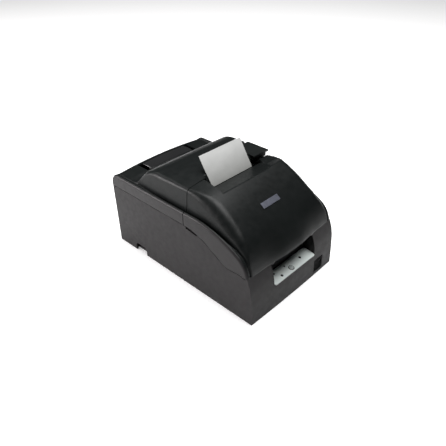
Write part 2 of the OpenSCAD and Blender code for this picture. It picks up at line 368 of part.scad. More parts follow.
module print_carriage() {
  color("#2d2f31") difference() {
    union() {
      xcyl(8, -20, 20, cs[0], cs[1]);
      bx([-20, -83.4, 58.6], [20, -50, 69]);
      for (s = [-1, 1]) bx([s*17.5 - 2.5, -74, 66], [s*17.5 + 2.5, -48, 78]);
      bx([-5, -83.2, 50], [5, -82, 62]);
    }
    xcyl(shaft_r + run, -21, 21, cs[0], cs[1]);
    bx([-21, -81.4, 54.6], [21, -79, 66.6]);
    bx([-21, -81.5, 53], [21, -64.5, 62.5]);
    ycyl(14.01, -90, -30, 0, line_z);
  }
}
module print_head() {
  color("#3a3c3e") difference() {
    union() {
      for (i = [0:6]) ycyl(i == 0 || i == 6 ? 14 : 13.8, -73 + 3.6*i, -71 + 3.6*i, 0, line_z);
      ycyl(10, -74, -48, 0, line_z);
      ycyl(13, -50, -46.6, 0, line_z);
      translate([0, -46.8, line_z]) rotate([-90, 0, 0]) cylinder(r1 = 9, r2 = 4.5, h = 9);
      bx([-2.6, -40, line_z - 5], [2.6, -35.2, line_z + 5]);
      bx([-10, -77.5, line_z - 6], [10, -73.5, line_z + 6]);
    }
    for (i = [-4:4]) ycyl(0.16, -36, -35, 0, line_z + i*0.9);
  }
}
module belt_clamp() { color("#34373a") difference() { bx([-5, -85.4, 44], [5, -83.2, 56]); bx([-6, belt_y + pulley_r - 0.1, belt_z - 0.05], [6, belt_y + pulley_r + 0.5, belt_z + 6.05]); } }
module carriage_motor() { color("#6d7072") union() { zcyl(12, 28, 41, -50, belt_y); zcyl(4.5, 41, 42, -50, belt_y); zcyl(1.5, 41, 53, -50, belt_y); bx([-59, -79, 31], [-41, -75.5, 38]); zcyl(2.2, 26, 28.2, -50, belt_y); } }
module pulley(x) { difference() { union() { zcyl(pulley_r - 0.3, belt_z - 0.4, belt_z + 6.4, x, belt_y); for (z = [belt_z - 1.4, belt_z + 6.4]) zcyl(pulley_r + 1.2, z, z + 1, x, belt_y); } zcyl(1.5 + run, 0, 90, x, belt_y); for (i = [0:13]) translate([x, belt_y, belt_z - 0.2]) rotate(i*360/14 + 5) translate([pulley_r - 0.25, 0, 0]) cylinder(r = 0.5, h = 6.4, $fn = 16); } }
module drive_pulley() { color("#c2b280") pulley(-50); }
module idler_pulley() { color("#c2b280") pulley(50); }
module carriage_belt() { color("#1a1a1a") translate([0, belt_y, belt_z]) linear_extrude(6) difference() {
  union() { square([100, 2*(pulley_r + 0.45)], center = true); for (x = [-50, 50]) translate([x, 0]) circle(pulley_r + 0.45); }
  union() { square([100, 2*(pulley_r - 0.05)], center = true); for (x = [-50, 50]) translate([x, 0]) circle(pulley_r - 0.05); } } }
module idler_stud() { color("#9a9a9a") union() { zcyl(1.5, 27, 53.6, 50, belt_y); zcyl(2.3, 26, 28, 50, belt_y); zcyl(4, 27.6, 43.8, 50, belt_y); xcyl(2, 64.2, 70.4, idl_c[0], idl_c[1]); xcyl(3.4, 62.4, 63.95, idl_c[0], idl_c[1]); xcyl(2, 63.5, 66, idl_c[0], idl_c[1]); } }
module platen() { color("#202122") difference() { union() { bx([-43, -31.4, 76.5], [43, -26.4, 91.5]); xcyl(1.2, -43, 43, -30.2, 91.4); xcyl(1.2, -43, 43, -30.2, 76.6); } } }
module platen_bracket() {
  color("#96999b") union() {
    for (s = [-1, 1]) difference() { xprism([[-30.6, 78], [-26.4, 76.5], [-22, 78], [-22, 104], [-30.6, 104]], s*45 - 1, s*45 + 1); xcyl(1.8 + run, s*45 - 2, s*45 + 2, -28, feed_c[1]); }
    bx([-64, -26.4, 78], [64, -24.8, 90]);
  }
}
module pinch_roller() { color("#3a3a3a") difference() { union() { xcyl(1.8, -46.6, 46.6, -28, feed_c[1]); for (x = [-20, 20]) xcyl(3.9, x - 7, x + 7, -28, feed_c[1]); } } }
module feed_roller() { color("#3c3c3e") union() { xcyl(3, -67, 69.8, feed_c[0], feed_c[1]); for (x = [-20, 20]) xcyl(4.9, x - 7, x + 7, feed_c[0], feed_c[1]); } }
module feed_roller_gear() { color("#d9d7cf") gear(feed_teeth, feed_c, 66.4, 69.4, 3.01, -78); }
module idler_gear() { color("#d9d7cf") gear(idler_teeth, idl_c, 66.4, 69.4, 2 + run, 102 + 3); }
// the idler has a gap opposite the roller gear; the pinion's gap meets one of its teeth
ipz = 105 + round((295 - 105)/6)*6 - 295;
module motor_pinion() { color("#c9b46a") gear(pinion_teeth, pin_c, 66.4, 69.4, 1.54, 115 + 10 - ipz*idler_teeth/pinion_teeth); }
module feed_motor() { color("#6d7072") union() { xcyl(14, 46, 63.9, pin_c[0], pin_c[1]); xcyl(4.5, 63.8, 65.6, pin_c[0], pin_c[1]); xcyl(1.5, 63, 69.8, pin_c[0], pin_c[1]); bx([48, pin_c[0] + 12, pin_c[1] - 4], [60, pin_c[0] + 16, pin_c[1] + 4]); } }
module ribbon_cassette() {
  color("#1f2022") difference() {
    union() {
      bx([-60.8, -69, 104.6], [60.8, -44, 110]);
      for (s = [-1, 1]) { bx([s*57.15 - 3.65, -51, 78], [s*57.15 + 3.65, -42.4, 105]); bx([s*57.15 - 3.65, -44, 78], [s*57.15 + 3.65, -34.5, 91.6]); }
    }
    bx([-59.3, -67.4, 106.2], [59.3, -45.6, 109]);
    zcyl(4 + run, 108, 113, 44, -58);
  }
}
module ribbon_band() { color("#17171a") union() { bx([-53.4, -34.35, 78.4], [53.4, -34.05, 90.4]); } }
module ribbon_knob() { color("#54585a") union() { zcyl(4, 109.01, 111, 44, -58); difference() { zcyl(7.6, 110.6, 113.8, 44, -58); for (i = [0:11]) translate([44, -58, 110]) rotate(i*30) translate([8, 0, 0]) cylinder(r = 1, h = 6, $fn = 16); } } }
module cutter_frame() { color("#8b8e90") union() {
  difference() { bx([-50, -52, 114.9], [60, -30, 121]); bx([-44, -50, 116.2], [44, -29, 118.4]); bx([-40, -45, 118], [40, -37, 122]); }
  bx([52, -45.4, 120.4], [56, -39.6, 129.5]); bx([-56, -45.4, 120.4], [-52, -38, 131]);
  bx([47, -56.5, 115.2], [58, -51.8, 119]); } }
module cutter_blade() { color("#c4c7c9") xprism([[-49, 116.4], [-31.4, 116.4], [-30.4, 117.2], [-31.4, 118.2], [-49, 118.2]], -43.4, 43.4); }
module tear_bar() { color("#b9bcbe") union() { xprism([[-19.3, 121], [-15.6, 118.4], [-13.2, 118.4], [-13.2, 119.6], [-16, 120.6]], -37, 37); bx([-37.5, -13.4, 117.6], [38.5, -12, 120]); } }

// ---- boards, connectors, sensors ----
module main_board() { color("#2f5f3c") difference() { bx([-60, -95, 10], [60, 0, 11.6]); for (s = [-1, 1]) for (y = [-88, -6]) zcyl(1.3, 9, 12, s*55, y); for (x = [-50, 50]) zcyl(0.4, 9, 12, x, belt_y); } }
module board_parts() { color("#3a3a3c") union() {
  bx([-20, -70, 11.6], [4, -46, 14]); bx([16, -66, 11.6], [30, -50, 13.6]); bx([-50, -60, 11.6], [-38, -40, 14.2]);
  for (x = [-30, -14, 2]) zcyl(4.5, 11.6, 23, x, -82); bx([20, -90, 11.6], [40, -78, 22]); bx([-56, -26, 11.6], [-46, -14, 18]); bx([44, -40, 11.6], [56, -14, 17]);
  for (i = [0:5]) bx([-30 + 8*i, -34, 11.6], [-26 + 8*i, -26, 13.4]); } }
module interface_board() { color("#2f5f3c") difference() { bx([-52, 99, 10], [52, 118, 11.6]); for (s = [-1, 1]) zcyl(1.3, 9, 12, s*48, 104); } }
module serial_connector() { color("#9a9da0") difference() { union() { bx([-27, 117, 12], [27, 119.5, 24.5]); bx([-21, 119, 13.6], [21, 123.4, 23]); bx([-21, 108, 11.6], [21, 117.2, 22]); }
  bx([-19.8, 120.2, 14.8], [19.8, 125, 21.8]); for (s = [-1, 1]) ycyl(1.4, 110, 126, s*23.52, 18.3); } }
module power_inlet() { color("#1c1c1c") difference() { bx([33, 106, 11.6], [47, 122.6, 25]); ycyl(5, 114, 125, 40, 18.4); } }
module drawer_jack() { color("#2a2a2a") difference() { bx([-47, 106, 11.6], [-33, 122.6, 25]); bx([-45, 112, 14], [-35, 125, 21.6]); } }
module paper_sensor_lever() { color("#d8d4c8") union() { xcyl(1.5, 26, 43.4, -20, 66); bx([27, -26.6, 62.4], [29, -20, 66]); xcyl(2.3, 44.2, 45.4, -20, 66); xcyl(1.5, 43, 44.4, -20, 66); } }
module home_sensor() { color("#1b1b1b") difference() { bx([-62, -70, 27.6], [-52, -60, 40]); bx([-58.6, -71, 32], [-55.4, -59, 41]); } }

lower_case();
bottom_plate();
rubber_feet();
screws();
front_cover();
front_hinge_barrel();
blank_nameplate();
hinge_pins();
roll_cover();
rear_hinge_barrel();
roll_window();
lever_bracket();
cover_lever();
lever_pin();
control_panel();
feed_button();
button_spring();
panel_leds();
power_rocker();
power_switch_body();
roll_bin();
paper_roll();
roll_core();
paper_web();
paper_slip();
left_frame();
right_frame();
frame_base();
carriage_shaft();
guide_rail();
print_carriage();
print_head();
belt_clamp();
carriage_motor();
drive_pulley();
idler_pulley();
carriage_belt();
platen();
platen_bracket();
feed_roller();
feed_roller_gear();
idler_gear();
idler_stud();
feed_motor();
motor_pinion();
pinch_roller();
ribbon_cassette();
ribbon_band();
ribbon_knob();
cutter_frame();
cutter_blade();
tear_bar();
main_board();
board_parts();
interface_board();
serial_connector();
power_inlet();
drawer_jack();
paper_sensor_lever();
home_sensor();
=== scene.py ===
import json
import math

import bmesh
import bpy
import numpy as np
from mathutils import Matrix, Vector


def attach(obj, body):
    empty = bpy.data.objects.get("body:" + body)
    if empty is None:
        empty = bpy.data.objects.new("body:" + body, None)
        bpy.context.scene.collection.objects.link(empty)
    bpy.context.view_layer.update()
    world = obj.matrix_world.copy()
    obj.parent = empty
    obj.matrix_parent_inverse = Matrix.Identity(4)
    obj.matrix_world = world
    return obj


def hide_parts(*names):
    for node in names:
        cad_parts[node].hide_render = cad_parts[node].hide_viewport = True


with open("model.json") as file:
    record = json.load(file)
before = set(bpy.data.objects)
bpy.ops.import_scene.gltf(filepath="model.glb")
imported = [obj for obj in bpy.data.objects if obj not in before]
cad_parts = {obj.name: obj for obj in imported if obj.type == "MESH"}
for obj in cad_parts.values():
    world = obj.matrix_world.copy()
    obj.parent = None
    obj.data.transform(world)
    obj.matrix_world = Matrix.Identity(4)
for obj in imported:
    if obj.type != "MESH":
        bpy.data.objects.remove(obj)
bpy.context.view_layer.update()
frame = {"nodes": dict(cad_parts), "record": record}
NODES = frame["nodes"]
SC = bpy.context.scene
MM = 0.001


# ------------------------------------------------------------------ camera
def camera():
    az, el, roll = math.radians(-45.938), math.radians(34.989), math.radians(-0.7264)
    back = Vector((math.sin(az) * math.cos(el), -math.cos(az) * math.cos(el), math.sin(el)))
    right = Vector((math.cos(az), math.sin(az), 0))
    up = back.cross(right)
    r2 = math.cos(roll) * right + math.sin(roll) * up
    u2 = -math.sin(roll) * right + math.cos(roll) * up
    cam = bpy.data.cameras.new("camera")
    cam.sensor_width = 36
    cam.lens = 483.4 / 446 * 36
    cam.shift_x, cam.shift_y = 0.0004, 0.0019
    cam.clip_start, cam.clip_end = 0.01, 20
    o = bpy.data.objects.new("camera", cam)
    SC.collection.objects.link(o)
    m = Matrix((r2, u2, back)).transposed().to_4x4()
    m.translation = Vector((-0.38084, -0.37012, 0.41533))
    o.matrix_world = m
    SC.camera = o


camera()


# ------------------------------------------------------------------ small maths
def clamp(v):
    return np.clip(v, 0.0, 1.0)


def ss(v):
    v = clamp(v)
    return v * v * (3 - 2 * v)


def smin(a, b, k):
    h = clamp(0.5 + 0.5 * (b - a) / k)
    return b * (1 - h) + a * h - k * h * (1 - h)


def smooth(pts, n=6):
    p = [np.array(q, float) for q in pts]
    out = []
    for i in range(len(p) - 1):
        a, b, c, d = p[max(i - 1, 0)], p[i], p[i + 1], p[min(i + 2, len(p) - 1)]
        for k in range(n):
            t = k / n
            out.append(0.5 * (2 * b + (c - a) * t + (2 * a - 5 * b + 4 * c - d) * t * t + (-a + 3 * b - 3 * c + d) * t ** 3))
    out.append(p[-1])
    return np.array(out)


def ray(pt, a, curve):
    """Distance from pt, along the direction at angle a (radians) in the (y, z) plane, to the curve."""
    d = np.array([-math.cos(a), math.sin(a)])
    u, v = curve[:-1] - pt, curve[1:] - pt
    cu, cv = d[0] * u[:, 1] - d[1] * u[:, 0], d[0] * v[:, 1] - d[1] * v[:, 0]
    with np.errstate(divide="ignore", invalid="ignore"):
        t = cu / (cu - cv)
    w = u + t[:, None] * (v - u)
    r = w @ d
    ok = (cu * cv <= 0) & (cu != cv) & (r > 0)
    return float(r[ok][0]) if ok.any() else 60.0


# ------------------------------------------------------------------ mesh helpers
def mesh_object(name, verts_mm, faces, smooth_angle=35, merge=0.01):
    me = bpy.data.meshes.new(name)
    me.from_pydata([tuple(v) for v in np.asarray(verts_mm, float) * MM], [], [tuple(int(i) for i in f) for f in faces])
    me.validate()
    o = bpy.data.objects.new(name, me)
    SC.collection.objects.link(o)
    bm = bmesh.new()
    bm.from_mesh(me)
    bmesh.ops.remove_doubles(bm, verts=bm.verts, dist=merge * MM)
    bmesh.ops.dissolve_degenerate(bm, edges=bm.edges, dist=0.002 * MM)
    bmesh.ops.recalc_face_normals(bm, faces=bm.faces)
    bm.to_mesh(me)
    bm.free()
    shade(o, smooth_angle)
    return o


def shade(o, angle=35):
    me = o.data
    me.polygons.foreach_set("use_smooth", [True] * len(me.polygons))
    me.set_sharp_from_angle(angle=math.radians(angle))
    me.update()


def shell(name, G, keep, thick, bevel=0.35, angle=40, drop=None, segs=2):
    """Closed thin shell from an outer grid G[i, j] (mm). keep[i, j] says which cells exist; thick is the wall. Free edges are rounded by bevel."""
    n, m = G.shape[:2]
    du = np.zeros_like(G)
    dv = np.zeros_like(G)
    du[1:-1] = G[2:] - G[:-2]
    du[0], du[-1] = G[1] - G[0], G[-1] - G[-2]
    dv[:, 1:-1] = G[:, 2:] - G[:, :-2]
    dv[:, 0], dv[:, -1] = G[:, 1] - G[:, 0], G[:, -1] - G[:, -2]
    N = np.cross(du, dv)
    L = np.linalg.norm(N, axis=2, keepdims=True)
    bad = L[..., 0] < 1e-6
    N = N / np.maximum(L, 1e-9)
    if N[n // 2, m // 2, 2] < 0:
        N = -N
    N[bad] = (0, 0, 1)
    # steady the inner offset where the outer surface turns sharply
    for _ in range(3):
        S = N.copy()
        S[1:-1] += N[2:] + N[:-2]
        S[:, 1:-1] += N[:, 2:] + N[:, :-2]
        N = S / np.maximum(np.linalg.norm(S, axis=2, keepdims=True), 1e-9)
    I = G - N * thick
    if drop is not None:
        I = drop(G, I)
    ids = np.arange(n * m).reshape(n, m)
    V = np.concatenate([G.reshape(-1, 3), I.reshape(-1, 3)])
    F = []
    off = n * m
    K = keep
    for i in range(n - 1):
        for j in range(m - 1):
            if not K[i, j]:
                continue
            a, b, c, d = ids[i, j], ids[i + 1, j], ids[i + 1, j + 1], ids[i, j + 1]
            F.append((a, b, c, d))
            F.append((a + off, d + off, c + off, b + off))
            if i == 0 or not K[i - 1, j]:
                F.append((a, d, d + off, a + off))
            if i == n - 2 or not K[i + 1, j]:
                F.append((b, b + off, c + off, c))
            if j == 0 or not K[i, j - 1]:
                F.append((a, a + off, b + off, b))
            if j == m - 2 or not K[i, j + 1]:
                F.append((d, c, c + off, d + off))
    me = bpy.data.meshes.new(name)
    me.from_pydata([tuple(v) for v in V * MM], [], [tuple(int(q) for q in f) for f in F])
    o = bpy.data.objects.new(name, me)
    SC.collection.objects.link(o)
    bm = bmesh.new()
    bm.from_mesh(me)
    loose = [v for v in bm.verts if not v.link_faces]
    bmesh.ops.delete(bm, geom=loose, context="VERTS")
    bmesh.ops.remove_doubles(bm, verts=bm.verts, dist=0.02 * MM)
    bmesh.ops.dissolve_degenerate(bm, edges=bm.edges, dist=0.003 * MM)
    bmesh.ops.recalc_face_normals(bm, faces=bm.faces)
    bm.to_mesh(me)
    bm.free()
    shade(o, angle)
    if bevel:
        b = o.modifiers.new("edge", "BEVEL")
        b.width, b.segments, b.limit_method, b.angle_limit = bevel * MM, segs, "ANGLE", math.radians(55)
        b.use_clamp_overlap = True
        b.harden_normals = False
    return o


def apply_all(o):
    dg = bpy.context.evaluated_depsgraph_get()
    me = bpy.data.meshes.new_from_object(o.evaluated_get(dg))
    o.modifiers.clear()
    old = o.data
    o.data = me
    bpy.data.meshes.remove(old)
    return o


def prism(name, pts, x0, x1):
    """Closed prism along X from a (y, z) outline."""
    n = len(pts)
    V = [(x0, p[0], p[1]) for p in pts] + [(x1, p[0], p[1]) for p in pts]
    F = [tuple(range(n))[::-1], tuple(range(n, 2 * n))] + [(i, (i + 1) % n, n + (i + 1) % n, n + i) for i in range(n)]
    return mesh_object(name, V, F)


def zprism(name, pts, z0, z1):
    n = len(pts)
    V = [(p[0], p[1], z0) for p in pts] + [(p[0], p[1], z1) for p in pts]
    F = [tuple(range(n))[::-1], tuple(range(n, 2 * n))] + [(i, (i + 1) % n, n + (i + 1) % n, n + i) for i in range(n)]
    return mesh_object(name, V, F)


def cutbox(name, a, b):
    return zprism(name, [(a[0], a[1]), (b[0], a[1]), (b[0], b[1]), (a[0], b[1])], a[2], b[2])


def boolean(o, tools, op="DIFFERENCE"):
    for t in tools:
        m = o.modifiers.new("b", "BOOLEAN")
        m.operation, m.solver, m.object = op, "EXACT", t
    apply_all(o)
    for t in tools:
        me = t.data
        bpy.data.objects.remove(t)
        bpy.data.meshes.remove(me)
    return o


def tidy(o, angle=1.0):
    bm = bmesh.new()
    bm.from_mesh(o.data)
    bmesh.ops.remove_doubles(bm, verts=bm.verts, dist=0.01 * MM)
    bmesh.ops.dissolve_limit(bm, angle_limit=math.radians(angle), verts=bm.verts, edges=bm.edges)
    bm.to_mesh(o.data)
    bm.free()
    shade(o)


def add_bevel(o, width, segs=2, angle=30):
    b = o.modifiers.new("edge", "BEVEL")
    b.width, b.segments, b.limit_method, b.angle_limit = width * MM, segs, "ANGLE", math.radians(angle)
    b.use_clamp_overlap = True
    b.harden_normals = False
    w = o.modifiers.new("normals", "WEIGHTED_NORMAL")
    w.keep_sharp = False
    w.weight = 80
    return o


# ------------------------------------------------------------------ materials
def new_mat(name):
    m = bpy.data.materials.new(name)
    m.use_nodes = True
    nt = m.node_tree
    nt.nodes.clear()
    out = nt.nodes.new("ShaderNodeOutputMaterial")
    bs = nt.nodes.new("ShaderNodeBsdfPrincipled")
    nt.links.new(bs.outputs[0], out.inputs[0])
    return m, nt, bs


def noise(nt, scale, detail=3.0, rough=0.5, stretch=None):
    tc = nt.nodes.new("ShaderNodeTexCoord")
    n = nt.nodes.new("ShaderNodeTexNoise")
    n.inputs["Scale"].default_value = scale
    n.inputs["Detail"].default_value = detail
    n.inputs["Roughness"].default_value = rough
    if stretch:
        mp = nt.nodes.new("ShaderNodeMapping")
        mp.inputs["Scale"].default_value = stretch
        nt.links.new(tc.outputs["Object"], mp.inputs["Vector"])
        nt.links.new(mp.outputs[0], n.inputs["Vector"])
    else:
        nt.links.new(tc.outputs["Object"], n.inputs["Vector"])
    return n.outputs["Fac"]


def remap(nt, sock, a, b, lo, hi):
    r = nt.nodes.new("ShaderNodeMapRange")
    r.inputs["From Min"].default_value, r.inputs["From Max"].default_value = a, b
    r.inputs["To Min"].default_value, r.inputs["To Max"].default_value = lo, hi
    nt.links.new(sock, r.inputs["Value"])
    return r.outputs[0]


def mixc(nt, fac, c0, c1):
    x = nt.nodes.new("ShaderNodeMix")
    x.data_type = "RGBA"
    for k, c in ((6, c0), (7, c1)):
        if isinstance(c, tuple):
            x.inputs[k].default_value = (*c, 1)
        else:
            nt.links.new(c, x.inputs[k])
    nt.links.new(fac, x.inputs[0])
    return x.outputs[2]


def bump(nt, bs, sock, strength, dist):
    b = nt.nodes.new("ShaderNodeBump")
    b.inputs["Strength"].default_value = strength
    b.inputs["Distance"].default_value = dist
    nt.links.new(sock, b.inputs["Height"])
    nt.links.new(b.outputs[0], bs.inputs["Normal"])
    return b


def plastic(name, c, rough=0.42, vary=0.18, grain=2600.0, depth=0.00002, strength=0.25, spec=0.5, rv=0.06, coat=0.0):
    """Moulded plastic: fine sparked grain, slow drift of colour and gloss."""
    m, nt, bs = new_mat(name)
    slow = noise(nt, 14.0, 2.0)
    f = remap(nt, slow, 0.3, 0.7, 0.0, 1.0)
    lo = tuple(v * (1 - vary) for v in c)
    hi = tuple(v * (1 + vary) for v in c)
    nt.links.new(mixc(nt, f, lo, hi), bs.inputs["Base Color"])
    fine = noise(nt, grain, 2.0, 0.6)
    mid = noise(nt, 160.0, 3.0)
    nt.links.new(remap(nt, mid, 0.3, 0.7, rough - rv, rough + rv), bs.inputs["Roughness"])
    bump(nt, bs, fine, strength, depth)
    bs.inputs["Specular IOR Level"].default_value = spec
    if coat:
        bs.inputs["Coat Weight"].default_value = coat
        bs.inputs["Coat Roughness"].default_value = 0.12
    return m


def metal(name, c, rough=0.32, stretch=(1, 1, 14), scale=240.0, rv=0.1, aniso=0.0):
    m, nt, bs = new_mat(name)
    n = noise(nt, scale, 4.0, 0.6, stretch)
    f = remap(nt, n, 0.3, 0.7, 0.0, 1.0)
    nt.links.new(mixc(nt, f, tuple(v * 0.82 for v in c), c), bs.inputs["Base Color"])
    nt.links.new(remap(nt, n, 0.3, 0.7, rough - rv, rough + rv), bs.inputs["Roughness"])
    bs.inputs["Metallic"].default_value = 1.0
    bump(nt, bs, n, 0.12, 0.00003)
    return m


def paper_mat(name, c=(0.74, 0.74, 0.72)):
    m, nt, bs = new_mat(name)
    fib = noise(nt, 900.0, 5.0, 0.65, (1, 0.35, 0.35))
    slow = noise(nt, 30.0, 2.0)
    f = remap(nt, slow, 0.3, 0.7, 0.0, 1.0)
    nt.links.new(mixc(nt, f, tuple(v * 0.95 for v in c), c), bs.inputs["Base Color"])
    bs.inputs["Roughness"].default_value = 0.78
    bs.inputs["Specular IOR Level"].default_value = 0.25
    bump(nt, bs, fib, 0.25, 0.00004)
    return m


def painted_light_side_band(m, c):
    """The outer side faces of both covers (|x| from about 77 to 80 mm and out) take the case's lighter tone: painted
    light, making the sides lighter than the cover's top as the light falls on them; grain and gloss stay the cover's
    own.
    """
    nt = m.node_tree
    bs = next(n for n in nt.nodes if n.type == "BSDF_PRINCIPLED")
    base = bs.inputs["Base Color"].links[0].from_socket
    tc = nt.nodes.new("ShaderNodeTexCoord")
    sep = nt.nodes.new("ShaderNodeSeparateXYZ")
    nt.links.new(tc.outputs["Object"], sep.inputs[0])
    ab = nt.nodes.new("ShaderNodeMath")
    ab.operation = "ABSOLUTE"
    nt.links.new(sep.outputs[0], ab.inputs[0])
    # painted light: the base colour blends to the case tone between |x| 77.2 and 79.7 mm
    f = remap(nt, ab.outputs[0], 0.0772, 0.0797, 0.0, 1.0)
    mx = nt.nodes.new("ShaderNodeMix")
    mx.data_type = "RGBA"
    nt.links.new(f, mx.inputs[0])
    nt.links.new(base, mx.inputs[6])
    mx.inputs[7].default_value = (*c, 1)
    nt.links.new(mx.outputs[2], bs.inputs["Base Color"])


def slip_mat_painted_shade(name):
    """Thermal-white slip with painted shade: the colour darkens towards the slot (z 158 mm down to 126 mm, down to 0.34
    of the paper tone), standing in for the slot's shade on the slip's foot, with a faint mottled edge to that fade.
    """
    m = paper_mat(name, (0.69, 0.695, 0.685))
    nt = m.node_tree
    bs = next(n for n in nt.nodes if n.type == "BSDF_PRINCIPLED")
    base = bs.inputs["Base Color"].links[0].from_socket
    tc = nt.nodes.new("ShaderNodeTexCoord")
    sep = nt.nodes.new("ShaderNodeSeparateXYZ")
    nt.links.new(tc.outputs["Object"], sep.inputs[0])
    cloud = noise(nt, 55.0, 5.0, 0.62)
    add = nt.nodes.new("ShaderNodeMath")
    add.operation = "MULTIPLY_ADD"
    nt.links.new(cloud, add.inputs[0])
    add.inputs[1].default_value = 0.010
    nt.links.new(sep.outputs[2], add.inputs[2])
    # painted shade: the slip's tone fades from full at z 158 mm to 0.34 at 126 mm, towards the slot
    f = remap(nt, add.outputs[0], 0.126, 0.158, 0.0, 1.0)
    g = mixc(nt, f, (0.34, 0.34, 0.33), (1.0, 1.0, 1.0))
    mul = nt.nodes.new("ShaderNodeMix")
    mul.data_type, mul.blend_type = "RGBA", "MULTIPLY"
    mul.inputs[0].default_value = 1.0
    nt.links.new(base, mul.inputs[6])
    nt.links.new(g, mul.inputs[7])
    nt.links.new(mul.outputs[2], bs.inputs["Base Color"])
    return m


CASE_C = (0.0285, 0.0268, 0.0277)
MAT = {}
MAT["case"] = plastic("case_plastic", CASE_C, 0.48, 0.10, grain=2400.0, depth=0.00003, strength=0.35, spec=0.15)
MAT["cover"] = plastic("cover_plastic", (0.0068, 0.0081, 0.0080), 0.38, 0.12, grain=2800.0, depth=0.00002, strength=0.25, spec=0.17)
painted_light_side_band(MAT["cover"], CASE_C)
MAT["lever"] = plastic("lever_plastic", (0.0070, 0.0083, 0.0082), 0.45, 0.12, grain=2800.0, depth=0.00002, strength=0.25, spec=0.15)
MAT["bin"] = plastic("bin_plastic", (0.020, 0.021, 0.022), 0.5)
MAT["black_plastic"] = plastic("black_plastic", (0.010, 0.0105, 0.011), 0.45, spec=0.3)
# black rocker plastic darkened further and made nearly glossless: partly its own black, partly painted shade of the
# deep switch recess
MAT["switch"] = plastic("switch_black_painted_shade", (0.0019, 0.0020, 0.0022), 0.5, 0.1, strength=0.12, spec=0.02)
MAT["panel"] = plastic("panel_plastic", (0.50, 0.545, 0.53), 0.45, 0.06, grain=1500.0, depth=0.00003, strength=0.3)
MAT["button"] = plastic("button_plastic", (0.30, 0.33, 0.32), 0.42, 0.06)
# painted shade: near-black and glossless, for the lip that stands in for the shadowed gap in front of the slip
MAT["guide"] = plastic("guide_black", (0.0009, 0.0009, 0.0010), 0.8, spec=0.0)
MAT["led"] = plastic("led_lens", (0.004, 0.006, 0.005), 0.2, 0.1, strength=0.05, coat=0.5)
MAT["window"] = plastic("smoked_window", (0.017, 0.0175, 0.018), 0.09, 0.1, grain=600.0, depth=0.000003, strength=0.05, rv=0.02)
MAT["plate"] = metal("plate_silver", (0.205, 0.215, 0.262), 0.42, (14, 1, 1), 200.0, 0.06)
MAT["steel"] = metal("ground_steel", (0.56, 0.57, 0.58), 0.26)
MAT["sheet_steel"] = metal("zinc_sheet", (0.50, 0.51, 0.52), 0.38, (1, 1, 1), 120.0)
MAT["motor"] = metal("motor_can", (0.36, 0.37, 0.38), 0.36, (1, 1, 1), 160.0)
MAT["connector"] = metal("nickel_shell", (0.55, 0.56, 0.57), 0.28, (1, 1, 1), 160.0)
MAT["brass"] = metal("turned_brass", (0.62, 0.46, 0.20), 0.3, (1, 1, 1), 220.0)
MAT["gear"] = plastic("acetal", (0.66, 0.63, 0.54), 0.36, 0.05, strength=0.1)
MAT["rubber"] = plastic("rubber", (0.018, 0.018, 0.019), 0.75, 0.15, grain=1500.0, strength=0.5, spec=0.3)
MAT["ribbon"] = plastic("inked_ribbon", (0.008, 0.008, 0.014), 0.8, 0.2, grain=4000.0, strength=0.6, spec=0.2)
MAT["board"] = plastic("solder_mask", (0.012, 0.085, 0.030), 0.3, 0.2, grain=400.0, strength=0.3, coat=0.3)
MAT["components"] = plastic("chip_plastic", (0.016, 0.016, 0.017), 0.5)
MAT["card"] = plastic("cardboard", (0.36, 0.25, 0.14), 0.8, 0.15, grain=900.0, strength=0.5, spec=0.2)
MAT["paper"] = paper_mat("paper")


def dress(o, slot):
    o.data.materials.clear()
    o.data.materials.append(MAT[slot])


def stand_in(o, node, slot):
    """o stands for the CAD node: same body, same slot."""
    body = next(b for b, ns in frame["record"]["behaviour"]["bodies"].items() if node in ns)
    dress(o, slot)
    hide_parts(node)
    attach(o, body)


SLOT = {s["node"]: s["material_slot"] for s in frame["record"]["subparts"]}
for name, o in NODES.items():
    for s in o.material_slots:
        s.material = MAT[SLOT[name]]
    if not o.material_slots:
        o.data.materials.append(MAT[SLOT[name]])


def soften(node, width=0.3, segs=2, angle=30):
    """Rounds the edges of a CAD node with modifiers only."""
    o = NODES[node]
    w = o.modifiers.new("weld", "WELD")
    w.merge_threshold = 0.004 * MM
    add_bevel(o, width, segs, angle)


# ------------------------------------------------------------------ cover sections
PIVOT = np.array([-60.0, 40.0])
SEAM_Y, GAP, SEAM_Z = -14.0, 0.8, 89.5
HUMP, RIM, DECK = 138.5, 107.0, 105.5
RIM_C = smooth([[130, RIM], [20, RIM], [-14, RIM], [-38, 106.8], [-57, 104], [-73, 99.5], [-86, 94.4], [-95, 90], [-104, 84.3], [-110, 77.5], [-113.6, 70], [-115, 65.5], [-115.6, 60]])
TOP_C = smooth([[130, HUMP], [20, HUMP], [-14, HUMP - 0.2], [-30, 136.6], [-45, 132.8], [-60, 126], [-76, 115.5], [-95, 99.6], [-106, 88], [-114, 77], [-118, 69.5], [-119.2, 65], [-119.6, 60]])
SIDE_C = smooth([[130, 134.2], [20, 134.2], [-14, 134.2], [-30, 133.4], [-45, 131.2], [-59, 126.0], [-73, 118.2], [-93, 103.8], [-103, 93.2], [-110, 81.5], [-114, 71.5], [-115.2, 65.5], [-115.8, 60]])
SEAM_C = smooth([[-13, SEAM_Z + 0.6], [-18.2, SEAM_Z + 0.35], [-18.9, 89.9], [-28, 88.6], [-36.6, 86.7], [-37.6, 85.9], [-43, 84.5], [-50, 81.9], [-57.6, 76.9], [-68.7, 71.2], [-76.5, 66.2], [-84.4, 63.7], [-93.6, 64.3], [-104, 65.1], [-113, 66], [-122, 66.5]])
R_F = np.array([[-118.0, 9.0], [-100, 10.0], [-85, 13.0], [-59, 14.0], [-45, 12.0], [-33, 8.0], [-14, 3.6]])


